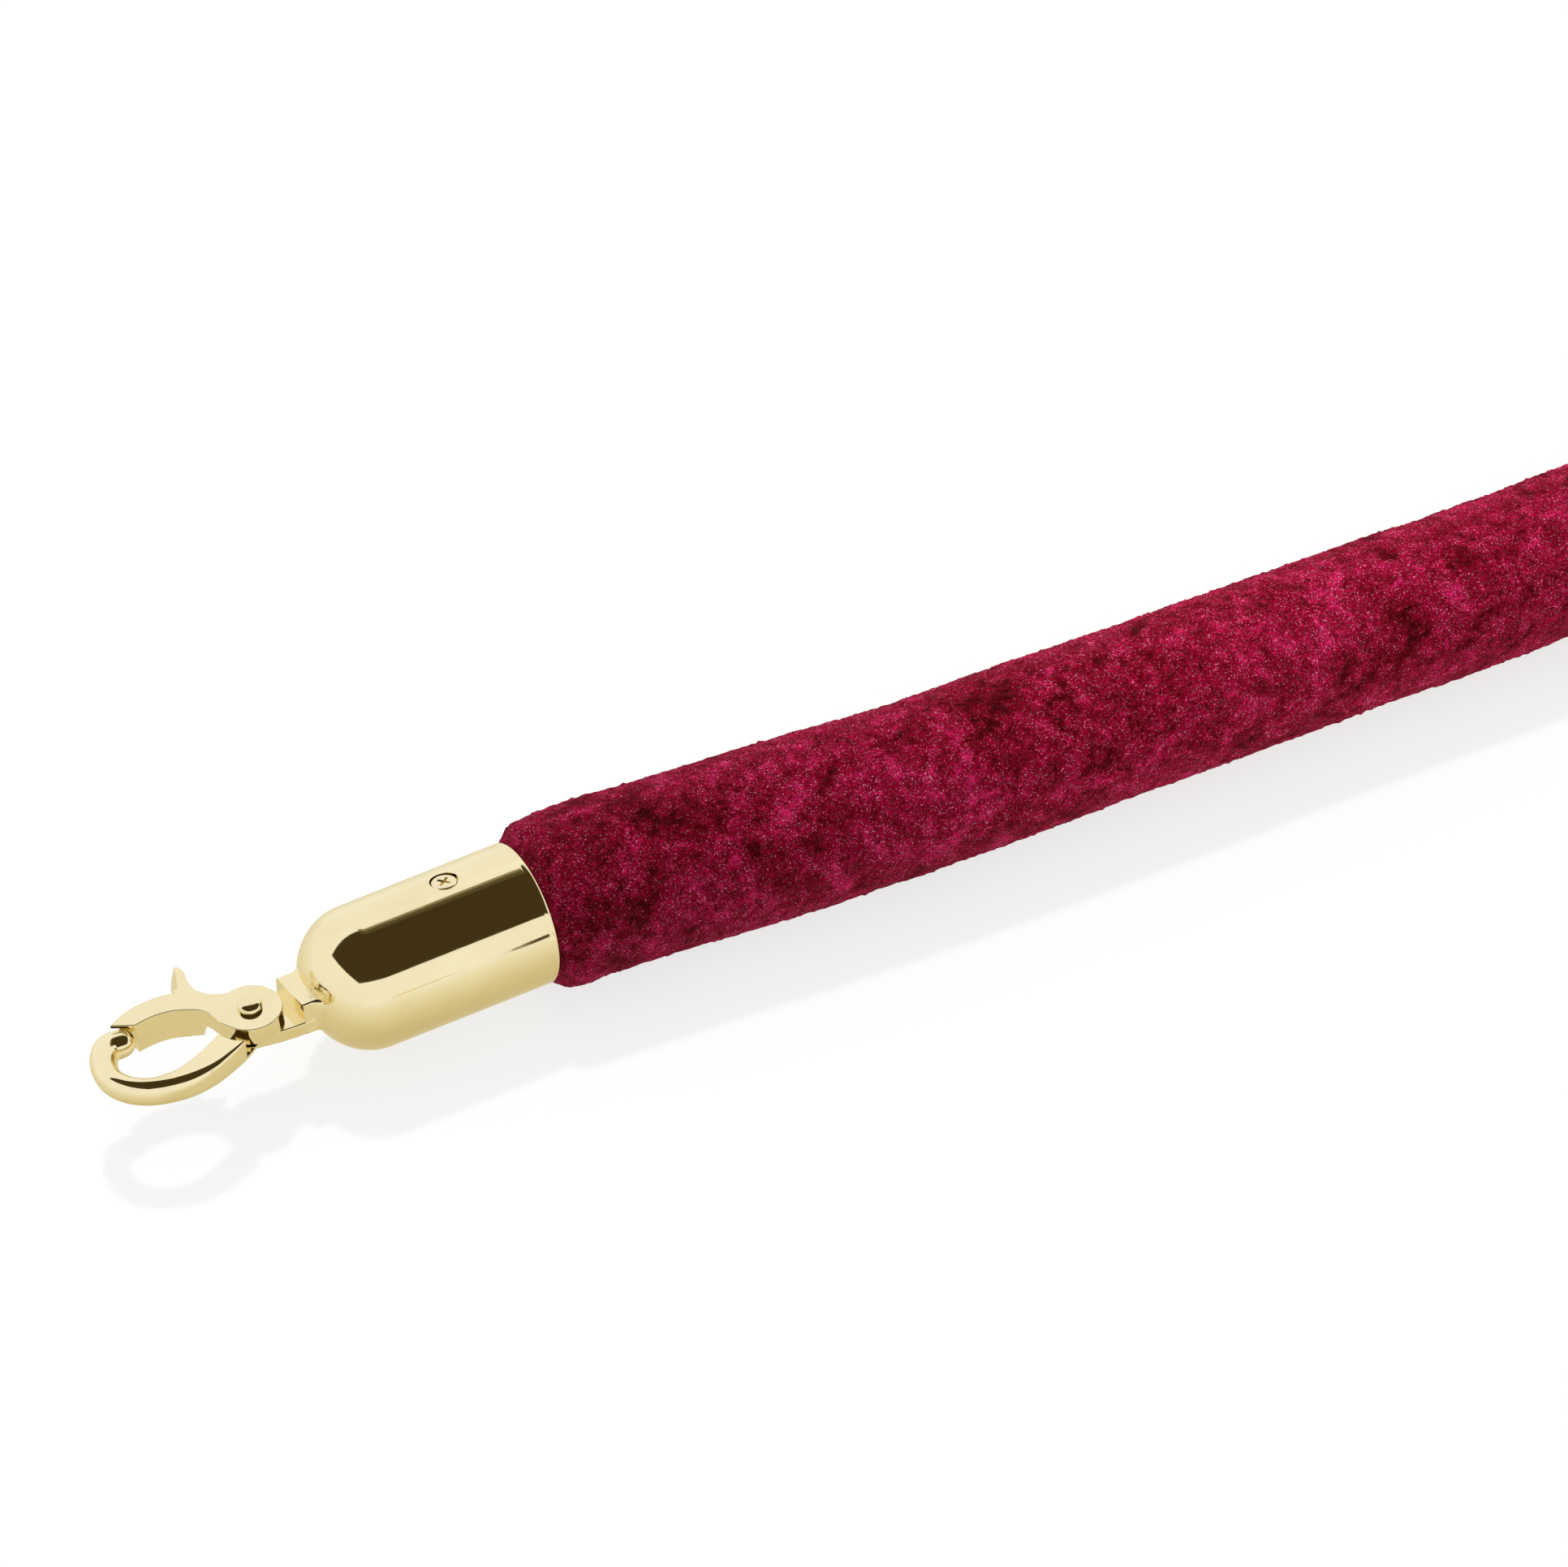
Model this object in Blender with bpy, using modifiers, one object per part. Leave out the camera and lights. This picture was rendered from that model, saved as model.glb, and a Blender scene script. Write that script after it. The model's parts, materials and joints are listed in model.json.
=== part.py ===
"""Velvet barrier rope: a padded rope in a velvet sleeve, with a cast cap and a sprung
trigger hook on each end.

Metres, +Z up. The rope lies on a floor at z = 0, folded once into a loose hank. The origin
is the middle of the whole outline on that floor, and +X runs from hook A along the rope.

Each end is modelled in its own frame, in millimetres: its origin is the pivot of the hook's
gate, on the axis of the cap, +X points from the hook into the rope, and +Z points up.
"""

import math

import bmesh
import bpy
from mathutils import Matrix, Vector

MM = 0.001

# ---- driving dimensions, in millimetres ----
ROPE_RADIUS = 18.0
SLEEVE_WALL = 1.8
PADDING_RADIUS = 15.5
CORD_RADIUS = 5.0
CORD_TUNNEL_RADIUS = 5.5
GAP = 0.3
RUN_STEP = 0.045  # metres between the points of the rope's tubes

MOUTH_X = 60.1  # the open end of the cap
MOUTH_RADIUS = 15.1
DOME_START_X = 24.4
DOME_RADIUS = 14.8
DOME_APEX_X = 11.3
BORE_RADIUS = 12.4
BORE_END_X = 16.5

HOOK_HALF_HEIGHT = 3.75
BLOCK_FRONT_X = 8.8
BLOCK_END_X = 15.0
BLOCK_HALF_WIDTH = 5.2
PLATE_HALF_WIDTH = 5.6
PLATE_END_RADIUS = 6.2
SPLIT_Z = -0.5  # the level where the gate's disc lies on the shank's plate
PAD_START_X = 3.4
PAD_END_X = 9.8
PAD_HEIGHT = 0.1  # the ground flat under the shank stands this proud of the casting
RECESS_RADIUS = 9.2
DISC_RADIUS = 6.3
ARM_START_RADIUS = 9.5

RIVET_RADIUS = 1.5
RIVET_HOLE_RADIUS = 1.85
RIVET_HEAD_RADIUS = 2.5

SPRING_RADIUS = 3.3
SPRING_WIRE_RADIUS = 0.25
SPRING_TURNS = 2
SPRING_LOW_Z = SPLIT_Z + 0.75
SPRING_LEG_DEG = 150.0
SPRING_SLOT_DEG = 50.0

SCREW_X = 43.9
SCREW_TURN_DEG = -8.0  # the screws' line is turned this much from the hook's face, about +X
SCREW_SIDES_DEG = (SCREW_TURN_DEG, SCREW_TURN_DEG + 180)
SCREW_HEAD_RADIUS = 2.65
COUNTERBORE_RADIUS = 3.0
SCREW_SHANK_RADIUS = 1.2
SCREW_HOLE_RADIUS = 1.6

PLUG_FRONT_X = MOUTH_X - 0.2
SLEEVE_END_X = 48.1
CORD_END_X = 39.9

# ---- where the two ends lie, in metres ----
AXIS_HEIGHT = ROPE_RADIUS * MM
PIVOT_A = Vector((-0.3425, 0.1395, AXIS_HEIGHT))
PIVOT_B = PIVOT_A + Vector((0.106, -0.276, 0.0))

# The rope's route between the caps, in metres from PIVOT_A: the straight run, one wide
# half turn, and the run back to cap B.
ROUTE = [
    (0.0900, -0.0018),
    (0.1200, -0.0050),
    (0.1550, -0.0078),
    (0.1950, -0.0099),
    (0.2350, -0.0116),
    (0.2750, -0.0136),
    (0.3150, -0.0148),
    (0.3600, -0.0155),
    (0.4100, -0.0155),
    (0.4600, -0.0150),
    (0.5150, -0.0145),
    (0.5720, -0.0170),
    (0.6210, -0.0275),
    (0.6630, -0.0555),
    (0.6910, -0.0975),
    (0.7010, -0.1465),
    (0.6910, -0.1960),
    (0.6630, -0.2375),
    (0.6210, -0.2655),
    (0.5720, -0.2765),
    (0.5150, -0.2790),
    (0.4600, -0.2795),
    (0.4050, -0.2785),
    (0.3500, -0.2770),
    (0.2950, -0.2765),
    (0.2400, -0.2765),
    (0.2000, -0.2760),
]

GOLD = ("polished_gold", (0.83, 0.69, 0.36), 0.12, 1.0)
STEEL = ("spring_steel", (0.55, 0.55, 0.56), 0.35, 1.0)
VELVET = ("wine_velvet", (0.30, 0.005, 0.045), 0.85, 0.0)
PADDING = ("padding_foam", (0.80, 0.79, 0.74), 0.95, 0.0)
CORD = ("core_cord", (0.72, 0.68, 0.58), 0.9, 0.0)
TIMBER = ("plug_wood", (0.62, 0.45, 0.27), 0.7, 0.0)
THREAD = ("binding_thread", (0.85, 0.82, 0.74), 0.8, 0.0)


# ---- scene and helpers ----
def clear_scene():
    for obj in list(bpy.data.objects):
        bpy.data.objects.remove(obj, do_unlink=True)


def new_collection(name):
    made = bpy.data.collections.new(name)
    bpy.context.scene.collection.children.link(made)
    return made


def material(name, colour, roughness, metallic):
    found = bpy.data.materials.get(name)
    if found:
        return found
    made = bpy.data.materials.new(name)
    made.use_nodes = True
    shader = made.node_tree.nodes["Principled BSDF"]
    shader.inputs["Base Color"].default_value = (*colour, 1.0)
    shader.inputs["Roughness"].default_value = roughness
    shader.inputs["Metallic"].default_value = metallic
    return made


def evaluated_mesh(obj):
    bpy.context.view_layer.update()
    graph = bpy.context.evaluated_depsgraph_get()
    return bpy.data.meshes.new_from_object(obj.evaluated_get(graph))


def as_mesh(obj, weld=1e-6):
    """Replaces an object by the mesh that its curve and modifiers make, welded closed."""
    mesh = evaluated_mesh(obj)
    matrix = obj.matrix_world.copy()
    name = obj.name
    bpy.data.objects.remove(obj, do_unlink=True)
    shape = bmesh.new()
    shape.from_mesh(mesh)
    bmesh.ops.remove_doubles(shape, verts=shape.verts, dist=weld)
    bmesh.ops.recalc_face_normals(shape, faces=shape.faces)
    shape.to_mesh(mesh)
    shape.free()
    made = bpy.data.objects.new(name, mesh)
    made.matrix_world = matrix
    bpy.context.scene.collection.objects.link(made)
    return made


def combine(target, tools, operation):
    """Cuts the tools from the target, or joins them to it, and removes them."""
    for tool in tools:
        step = target.modifiers.new("combine", "BOOLEAN")
        step.operation = operation
        step.solver = "EXACT"
        step.object = tool
        mesh = evaluated_mesh(target)
        target.modifiers.clear()
        target.data = mesh
        bpy.data.objects.remove(tool, do_unlink=True)
    return target


def arc(radius, start_deg, end_deg, steps, centre=(0.0, 0.0)):
    """Points on an arc, both ends included."""
    points = []
    for i in range(steps + 1):
        angle = math.radians(start_deg + (end_deg - start_deg) * i / steps)
        points.append(
            (centre[0] + radius * math.cos(angle), centre[1] + radius * math.sin(angle))
        )
    return points


def smooth_points(knots, steps):
    """A Catmull-Rom curve through the knots, with this many steps between two of them."""
    knots = [Vector(knot) for knot in knots]
    ends = [2 * knots[0] - knots[1], *knots, 2 * knots[-1] - knots[-2]]
    points = []
    for before, start, end, after in zip(ends, ends[1:], ends[2:], ends[3:]):
        for i in range(steps):
            t = i / steps
            points.append(
                0.5
                * (
                    2 * start
                    + (end - before) * t
                    + (2 * before - 5 * start + 4 * end - after) * t**2
                    + (3 * start - before - 3 * end + after) * t**3
                )
            )
    points.append(knots[-1])
    return points


def turned(name, profile, steps=24, along="Z"):
    """A turned solid from (radius, height) points that run down its outer side."""
    mesh = bpy.data.meshes.new(name)
    verts = [(radius * MM, 0.0, height * MM) for radius, height in profile]
    edges = [(i, i + 1) for i in range(len(verts) - 1)]
    if profile[0][0] > 0:
        edges.append((len(verts) - 1, 0))
    mesh.from_pydata(verts, edges, [])
    obj = bpy.data.objects.new(name, mesh)
    bpy.context.scene.collection.objects.link(obj)
    screw = obj.modifiers.new("turn", "SCREW")
    screw.steps = steps
    screw.render_steps = steps
    screw.use_merge_vertices = True
    screw.merge_threshold = 1e-6
    if along == "X":
        obj.matrix_world = Matrix.Rotation(math.radians(90), 4, "Y")
    obj = as_mesh(obj)
    obj.data.transform(obj.matrix_world)
    obj.matrix_world = Matrix.Identity(4)
    return obj


def slab(name, outline, low, high):
    """A flat piece with this outline, between two heights."""
    curve = bpy.data.curves.new(name, "CURVE")
    curve.dimensions = "2D"
    curve.fill_mode = "BOTH"
    curve.extrude = (high - low) / 2 * MM
    line = curve.splines.new("POLY")
    line.points.add(len(outline) - 1)
    for point, (x, y) in zip(line.points, outline):
        point.co = (x * MM, y * MM, 0.0, 1.0)
    line.use_cyclic_u = True
    obj = bpy.data.objects.new(name, curve)
    bpy.context.scene.collection.objects.link(obj)
    obj = as_mesh(obj)
    obj.data.transform(Matrix.Translation((0.0, 0.0, (low + high) / 2 * MM)))
    return obj


def box(name, low, high):
    bpy.ops.mesh.primitive_cube_add(size=1.0)
    obj = bpy.context.object
    obj.name = name
    low, high = Vector(low) * MM, Vector(high) * MM
    size = high - low
    place = Matrix.Translation((low + high) / 2) @ Matrix.Diagonal((*size, 1.0))
    obj.data.transform(place)
    return obj


def wire(name, points, radii, sides_level, filled=True):
    """A round tube along world points, in metres, with a radius at each, in millimetres."""
    curve = bpy.data.curves.new(name, "CURVE")
    curve.dimensions = "3D"
    curve.bevel_depth = MM
    curve.bevel_resolution = sides_level
    curve.use_fill_caps = filled
    line = curve.splines.new("POLY")
    line.points.add(len(points) - 1)
    for knot, point, radius in zip(line.points, points, radii):
        knot.co = (*point, 1.0)
        knot.radius = radius
    obj = bpy.data.objects.new(name, curve)
    bpy.context.scene.collection.objects.link(obj)
    return obj


def finish(obj, name, finish_values, parent, collection):
    """Names a piece, gives it its material and parent, and files it."""
    obj.name = name
    obj.data.materials.clear()
    obj.data.materials.append(material(*finish_values))
    if obj.type == "MESH":
        obj.data.shade_smooth()
        obj.data.set_sharp_from_angle(angle=math.radians(35))
    for old in list(obj.users_collection):
        old.objects.unlink(obj)
    collection.objects.link(obj)
    if parent:
        obj.parent = parent
    return obj


# ---- the cast end cap with the fixed half of its hook ----
def cap_shell():
    """The thimble-shaped cap, open at the mouth, with a domed end."""

    def dome(radius, start_x, apex_x, steps):
        depth = start_x - apex_x
        return [
            (radius * math.cos(a), start_x - depth * math.sin(a))
            for a in (math.pi / 2 * i / steps for i in range(1, steps + 1))
        ]

    inner = dome(BORE_RADIUS, DOME_START_X, BORE_END_X, 4)
    inner[-1] = (0.0, BORE_END_X)
    outer = dome(DOME_RADIUS, DOME_START_X, DOME_APEX_X, 7)
    outer[-1] = (0.0, DOME_APEX_X)
    profile = [
        *reversed(inner),
        (BORE_RADIUS, DOME_START_X),
        (BORE_RADIUS, MOUTH_X - 1.2),
        (BORE_RADIUS + 0.7, MOUTH_X - 0.2),
        (MOUTH_RADIUS - 0.8, MOUTH_X),
        (MOUTH_RADIUS, MOUTH_X - 0.8),
        (DOME_RADIUS, DOME_START_X),
        *outer,
    ]
    return turned("cap_shell", profile, steps=32, along="X")


def hook_ring():
    """The fixed half of the hook's eye: a bow whose section goes from square-shouldered at
    the shank to a round bar, with a plump round nose."""
    # x, y, half width, and height above and below the axis, along the bow
    knots = [
        (-1.5, -2.6, 2.6, 3.75, 3.75),
        (-5.2, -4.9, 2.9, 3.75, 3.6),
        (-9.0, -7.0, 2.75, 3.75, 3.2),
        (-12.8, -8.7, 2.6, 3.75, 2.8),
        (-17.0, -9.7, 2.35, 3.75, 2.4),
        (-21.0, -9.4, 2.25, 3.7, 2.3),
        (-24.8, -8.1, 2.25, 3.6, 2.3),
        (-27.9, -5.6, 2.35, 3.4, 2.4),
        (-29.8, -2.1, 2.45, 3.2, 2.5),
        (-30.0, 1.4, 2.55, 3.05, 2.5),
        (-29.0, 4.4, 2.75, 2.95, 2.6),
        (-27.0, 6.4, 2.95, 2.75, 2.7),
        (-24.5, 6.6, 2.95, 2.6, 2.7),
    ]
    stations = [tuple(knot) for knot in smooth_points(knots, 2)]
    centres = [Vector(s[:2]) for s in stations]
    tangents = [
        (after - before).normalized()
        for before, after in zip([centres[0], *centres], [*centres[1:], centres[-1]])
    ]
    sections = [(c, t, *s[2:]) for c, t, s in zip(centres, tangents, stations)]
    end, way, *sizes = sections[-1]
    for angle in (30, 55, 75, 87):
        reach, shrink = math.sin(math.radians(angle)), math.cos(math.radians(angle))
        sections.append((end + way * sizes[0] * reach, way, *[size * shrink for size in sizes]))
    sides = 12
    power = 2.4  # over 2, the section is fuller than an ellipse
    shape = bmesh.new()
    rings = []
    for centre, tangent, width, top, bottom in sections:
        across = Vector((-tangent.y, tangent.x))
        ring = []
        for i in range(sides):
            angle = 2 * math.pi * (i + 0.5) / sides
            c, s = math.cos(angle), math.sin(angle)
            u = math.copysign(abs(c) ** (2 / power), c) * width
            v = math.copysign(abs(s) ** (2 / power), s) * (top if s > 0 else bottom)
            spot = centre + across * u
            ring.append(shape.verts.new((spot.x * MM, spot.y * MM, v * MM)))
        rings.append(ring)
    for first, second in zip(rings, rings[1:]):
        for i in range(sides):
            j = (i + 1) % sides
            shape.faces.new((first[i], first[j], second[j], second[i]))
    shape.faces.new(rings[0])
    shape.faces.new(rings[-1])
    bmesh.ops.recalc_face_normals(shape, faces=shape.faces)
    mesh = bpy.data.meshes.new("hook_ring")
    shape.to_mesh(mesh)
    shape.free()
    obj = bpy.data.objects.new("hook_ring", mesh)
    bpy.context.scene.collection.objects.link(obj)
    return obj


def spring_slot():
    """The curved slot in the shank that leaves the spring's lower leg free to turn."""
    half_width = SPRING_WIRE_RADIUS + 2 * GAP
    first = SPRING_LEG_DEG + 12
    last = SPRING_LEG_DEG - SPRING_SLOT_DEG
    outline = arc(SPRING_RADIUS + half_width, first, last, 6)
    outline += arc(SPRING_RADIUS - half_width, last, first, 6)
    return slab("spring_slot", outline, SPLIT_Z - 1.9, SPLIT_Z + 0.2)


def end_cap():
    """One casting: the cap, the block and shank plate, and the fixed half of the hook."""
    half = HOOK_HALF_HEIGHT
    block = box(
        "block",
        (BLOCK_FRONT_X, -BLOCK_HALF_WIDTH, -half),
        (BLOCK_END_X, BLOCK_HALF_WIDTH, half),
    )
    collar = turned(
        "collar", [(0, 12.9), (7.2, 12.9), (6.0, 11.9), (5.3, 10.6), (0, 10.6)], 20, "X"
    )
    corner_deg = math.degrees(math.asin(PLATE_HALF_WIDTH / PLATE_END_RADIUS))
    outline = [(12.0, PLATE_HALF_WIDTH)]
    outline += arc(PLATE_END_RADIUS, corner_deg, 215, 10)
    # the near side narrows from the block towards the pivot
    outline += [(-2.9, -3.9), (-0.5, -4.1), (3.0, -4.8), (6.5, -5.3), (12.0, -PLATE_HALF_WIDTH)]
    shank = slab("shank", outline, -half, SPLIT_Z - GAP / 2)
    pad = box(
        "pad",
        (PAD_START_X, -BLOCK_HALF_WIDTH + 0.8, -half - PAD_HEIGHT),
        (PAD_END_X, BLOCK_HALF_WIDTH - 0.8, -half / 2),
    )
    floor = SPLIT_Z - GAP / 2
    recess = slab("recess", arc(RECESS_RADIUS, 90, 270, 16), floor, half + 1)
    recess_front = box("recess_front", (-0.1, -12, floor), (BLOCK_FRONT_X, 12, half + 1))
    bow = combine(hook_ring(), [recess, recess_front], "DIFFERENCE")

    body = combine(cap_shell(), [collar, block, shank, pad, bow], "UNION")
    rivet_hole = turned(
        "rivet_hole",
        [(0, 1), (RIVET_HOLE_RADIUS, 1), (RIVET_HOLE_RADIUS, -6), (0, -6)],
        16,
    )
    cutters = [rivet_hole, spring_slot()]
    for side in SCREW_SIDES_DEG:
        bore = turned(
            "screw_bore",
            [
                (0, 17),
                (COUNTERBORE_RADIUS, 17),
                (COUNTERBORE_RADIUS, 13.1),
                (SCREW_HOLE_RADIUS, 13.1),
                (SCREW_HOLE_RADIUS, 10),
                (0, 10),
            ],
            20,
        )
        turn = Matrix.Rotation(math.radians(side), 4, "X")
        bore.data.transform(turn @ Matrix.Translation((SCREW_X * MM, 0.0, 0.0)))
        cutters.append(bore)
    return combine(body, cutters, "DIFFERENCE")


# ---- the sprung gate ----
def gate_lever():
    """The gate: a thin disc round the rivet, a thumb tab, and the thick arm that closes the
    eye. Under a thin lip its slanted end is hollowed round the bow's nose."""
    half = HOOK_HALF_HEIGHT
    tip_outer = (-25.3, 9.3)
    tip_inner = (-21.2, 6.9)
    outer_edge = [(-22.9, 10.6), (-20.0, 11.5), (-17.1, 11.9), (-14.0, 11.8), (-10.9, 11.2)]
    tab = [(-10.4, 14.2), (-9.4, 17.2), (-8.1, 18.0), (-7.1, 17.2), (-6.9, 15.5)]
    tab += [(-7.2, 12.9), (-6.9, 10.3), (-5.9, 8.4), (-4.4, 7.1)]
    disc = arc(DISC_RADIUS, 112, -155, 22)
    throat = [(-7.0, -0.6), (-7.4, 1.4), (-8.1, 3.4), (-9.2, 4.8)]
    inner_edge = [(-11.4, 5.8), (-13.9, 6.5), (-16.9, 6.8), (-19.0, 6.8)]
    outline = [tip_inner, tip_outer, *outer_edge, *tab, *disc, *throat, *inner_edge]
    body = slab("gate_top", outline, SPLIT_Z + GAP / 2, half)
    arm_end = arc(ARM_START_RADIUS, 116, 152, 4)
    arm_outline = [tip_inner, tip_outer, *outer_edge[:-1], (-11.4, 11.3), *arm_end]
    arm_outline += inner_edge
    arm = slab("gate_arm", arm_outline, -half, GAP)
    combine(body, [arm], "UNION")
    rivet_hole = turned(
        "gate_hole",
        [(0, 6), (RIVET_HOLE_RADIUS, 6), (RIVET_HOLE_RADIUS, -2), (0, -2)],
        16,
    )
    margin = SPRING_WIRE_RADIUS + GAP
    pocket = turned(
        "spring_pocket",
        [
            (SPRING_RADIUS + margin, SPLIT_Z + 2.2),
            (SPRING_RADIUS + margin, SPLIT_Z - 0.5),
            (SPRING_RADIUS - margin, SPLIT_Z - 0.5),
            (SPRING_RADIUS - margin, SPLIT_Z + 2.2),
        ],
        24,
    )
    leg_angle = math.radians(SPRING_LEG_DEG)
    high, low = SPLIT_Z + 3.1, SPLIT_Z + 2.0
    leg_hole = turned("leg_hole", [(0, high), (0.55, high), (0.55, low), (0, low)], 8)
    spot = Vector((math.cos(leg_angle), math.sin(leg_angle), 0.0)) * SPRING_RADIUS * MM
    leg_hole.data.transform(Matrix.Translation(spot))
    around_nose = arc(3.4, -110, 75, 10, centre=(-24.5, 6.6))
    hollow = slab("hollow", [*around_nose, (-23.62, 13), (-31, 13), (-31, 2)], -half - 1, 2.95)
    return combine(body, [rivet_hole, pocket, leg_hole, hollow], "DIFFERENCE")


def gate_rivet():
    """A round-headed rivet, peened over under the shank."""
    top = HOOK_HALF_HEIGHT + GAP
    head = [
        (RIVET_HEAD_RADIUS * math.cos(a), top + 0.35 + 0.95 * math.sin(a))
        for a in (math.pi / 2 * i / 4 for i in (4, 3, 2, 1, 0))
    ]
    head[0] = (0.0, head[0][1])
    bottom = -top
    profile = head + [
        (RIVET_HEAD_RADIUS, top),
        (RIVET_RADIUS, top),
        (RIVET_RADIUS, bottom),
        (2.3, bottom),
        (1.9, bottom - 0.6),
        (0.0, bottom - 0.7),
    ]
    return turned("rivet", profile, 20)


def gate_spring():
    """A torsion spring round the rivet. Its upper leg sits in the gate, and its lower leg
    reaches down into the curved slot in the shank."""
    per_turn = 12
    low, high = SPRING_LOW_Z, SPRING_LOW_Z + 0.9
    points = []
    leg = math.radians(SPRING_LEG_DEG)
    for i in range(SPRING_TURNS * per_turn + 1):
        share = i / (SPRING_TURNS * per_turn)
        angle = leg + 2 * math.pi * SPRING_TURNS * share
        height = low + (high - low) * share
        x = SPRING_RADIUS * math.cos(angle)
        y = SPRING_RADIUS * math.sin(angle)
        points.append(Vector((x, y, height)) * MM)
    foot = points[0] + Vector((0.0, 0.0, -2.05 * MM))
    tip = points[-1] + Vector((0.0, 0.0, 1.1 * MM))
    points = [foot, *points, tip]
    radii = [SPRING_WIRE_RADIUS] * len(points)
    return as_mesh(wire("spring", points, radii, 1))


# ---- fasteners and the inside of the end ----
def cap_screw(side_deg):
    """A short cross-head screw, radial to the cap, its head sunk in the counterbore."""
    head_top = 14.5
    head_low = 13.4
    profile = [
        (0.0, head_top),
        (SCREW_HEAD_RADIUS - 0.5, head_top),
        (SCREW_HEAD_RADIUS, head_top - 0.4),
        (SCREW_HEAD_RADIUS, head_low),
        (SCREW_SHANK_RADIUS, head_low),
        (SCREW_SHANK_RADIUS, 7.6),
        (0.0, 6.4),
    ]
    screw = turned("screw", profile, 16)
    bars = []
    for turn in (45, 135):
        bar = box("recess_bar", (-1.5, -0.32, head_top - 0.7), (1.5, 0.32, head_top + 1))
        bar.data.transform(Matrix.Rotation(math.radians(turn), 4, "Z"))
        bars.append(bar)
    combine(screw, bars, "DIFFERENCE")
    turn = Matrix.Rotation(math.radians(side_deg), 4, "X")
    screw.data.transform(turn @ Matrix.Translation((SCREW_X * MM, 0.0, 0.0)))
    return screw


def core_plug():
    """A turned plug that fills the cap: the cord is glued into its blind hole, the sleeve is
    tied down in its groove, and the screws bite into its thick end."""
    hole = CORD_RADIUS + 0.4
    hole_end = CORD_END_X - 0.4
    profile = [
        (hole, hole_end),
        (hole, PLUG_FRONT_X),
        (9.3, PLUG_FRONT_X),
        (9.3, 56.6),
        (7.8, 54.2),
        (7.8, 47.7),
        (12.0, 47.2),
        (12.0, 30.0),
        (10.5, 27.5),
        (0.0, 27.5),
    ]
    plug = turned("plug", [(0.0, hole_end), *profile], 20, "X")
    pilots = []
    for side in SCREW_SIDES_DEG:
        pilot = turned("pilot", [(0, 14), (1.5, 14), (1.5, 6.0), (0, 6.0)], 12)
        turn = Matrix.Rotation(math.radians(side), 4, "X")
        pilot.data.transform(turn @ Matrix.Translation((SCREW_X * MM, 0.0, 0.0)))
        pilots.append(pilot)
    return combine(plug, pilots, "DIFFERENCE")


def sleeve_binding():
    """Waxed thread wound over the sleeve where it lies in the plug's groove."""
    ring = [(12.0, 52.4), (12.0, 49.0), (11.0, 49.0), (11.0, 52.4)]
    return turned("binding", ring, 20, "X")


def build_end(letter, pivot, collection):
    """All the pieces of one end, under an empty at its pivot."""
    frame = bpy.data.objects.new(f"end_{letter}", None)
    frame.location = pivot
    collection.objects.link(frame)
    pieces = [
        (end_cap(), "end_cap", GOLD),
        (gate_lever(), "gate_lever", GOLD),
        (gate_rivet(), "gate_rivet", GOLD),
        (gate_spring(), "gate_spring", STEEL),
        (cap_screw(SCREW_SIDES_DEG[0]), "cap_screw_top", GOLD),
        (cap_screw(SCREW_SIDES_DEG[1]), "cap_screw_bottom", GOLD),
        (core_plug(), "core_plug", TIMBER),
        (sleeve_binding(), "sleeve_binding", THREAD),
    ]
    for obj, name, values in pieces:
        finish(obj, f"{name}_{letter}", values, frame, collection)


# ---- the rope ----
def end_point(pivot, x):
    return pivot + Vector((x * MM, 0.0, 0.0))


def rope_run(step):
    """World points from just outside mouth A to just outside mouth B, about a step apart."""
    route = [PIVOT_A + Vector((x, y, 0.0)) for x, y in ROUTE]
    knots = [end_point(PIVOT_A, 74), *route, end_point(PIVOT_B, 74)]
    fine = smooth_points(knots, 8)
    kept = [fine[0]]
    for point in fine:
        if (point - kept[-1]).length >= step:
            kept.append(point)
    if (kept[-1] - fine[-1]).length < step / 2:
        kept.pop()
    return [*kept, fine[-1]]


def rope_tube(name, end_profile, radius, sides_level, filled=True):
    """A tube along the rope. end_profile gives (x, radius) inside and near each cap."""
    middle = rope_run(RUN_STEP)
    first = [end_point(PIVOT_A, x) for x, _ in end_profile]
    last = [end_point(PIVOT_B, x) for x, _ in reversed(end_profile)]
    radii = [r for _, r in end_profile]
    points = [*first, *middle, *last]
    return wire(
        name,
        points,
        [*radii, *([radius] * len(middle)), *reversed(radii)],
        sides_level,
        filled,
    )


def velvet_sleeve():
    """The fabric tube. It narrows into each cap and down into the plug's groove."""
    profile = [
        (SLEEVE_END_X, 10.6),
        (53.0, 10.6),
        (55.6, 12.05),
        (59.4, 12.05),
        (60.7, 14.4),
        (62.6, 16.6),
        (66.0, 17.7),
    ]
    sleeve = rope_tube("sleeve", profile, ROPE_RADIUS, 4, filled=False)
    wall = sleeve.modifiers.new("wall", "SOLIDIFY")
    wall.thickness = SLEEVE_WALL * MM
    wall.offset = -1.0
    return as_mesh(sleeve)


def core_padding():
    """Soft foam round the cord, with a tunnel for it."""
    profile = [(60.4, 8.9), (62.4, 11.6), (65.0, 13.7), (69.5, 15.2)]
    foam = as_mesh(rope_tube("foam", profile, PADDING_RADIUS, 3))
    tunnel_profile = [(55.0, CORD_TUNNEL_RADIUS), (66.0, CORD_TUNNEL_RADIUS)]
    tunnel = as_mesh(rope_tube("tunnel", tunnel_profile, CORD_TUNNEL_RADIUS, 2))
    return combine(foam, [tunnel], "DIFFERENCE")


def core_cord():
    """The laid cord that carries the pull from plug to plug."""
    profile = [(CORD_END_X, CORD_RADIUS), (66.0, CORD_RADIUS)]
    return as_mesh(rope_tube("cord", profile, CORD_RADIUS, 2))


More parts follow.
